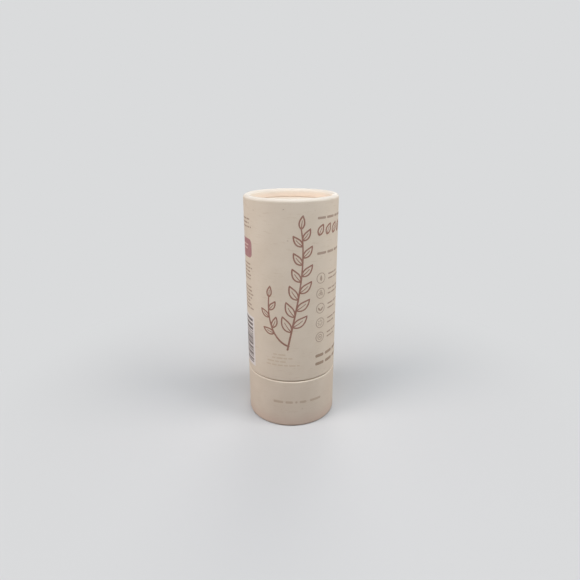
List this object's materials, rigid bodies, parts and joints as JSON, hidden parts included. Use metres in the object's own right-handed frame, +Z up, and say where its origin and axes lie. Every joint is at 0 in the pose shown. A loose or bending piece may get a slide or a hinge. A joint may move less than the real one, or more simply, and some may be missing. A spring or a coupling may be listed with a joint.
{
  "type": "deodorant stick",
  "caption": "Round paperboard push-up tube of solid deodorant, with a long lift-off cap, a short base and a product column that is pushed up from below.",
  "frame": {"origin": "centre of the foot's underside, on the surface that the tube stands on", "axes": "+Z up along the tube, -Y towards the printed front, +X to the right seen from the front"},
  "size_m": [0.046, 0.046, 0.1162],
  "materials": {
    "wrap_paper": "matte",
    "liner_paper": "matte",
    "plain_board": "matte",
    "solid_product": "satin",
    "rose_ink": "matte",
    "taupe_ink": "matte",
    "pale_ink": "matte"
  },
  "bodies": {
    "tube": {"base_sleeve": "wrap_paper", "inner_tube": "liner_paper"},
    "cap": {"cap_tube": "wrap_paper", "cap_end_disc": "wrap_paper"},
    "stick": {"push_skirt": "plain_board", "push_disc": "plain_board", "deodorant_stick": "solid_product"}
  },
  "joints": [
    {"name": "cap_lift", "type": "slide", "parent": "tube", "child": "cap", "axis": [0, 0, 1], "range_m": [0, 0.09]},
    {"name": "stick_push", "type": "slide", "parent": "tube", "child": "stick", "axis": [0, 0, 1], "range_m": [0, 0.046]}
  ]
}
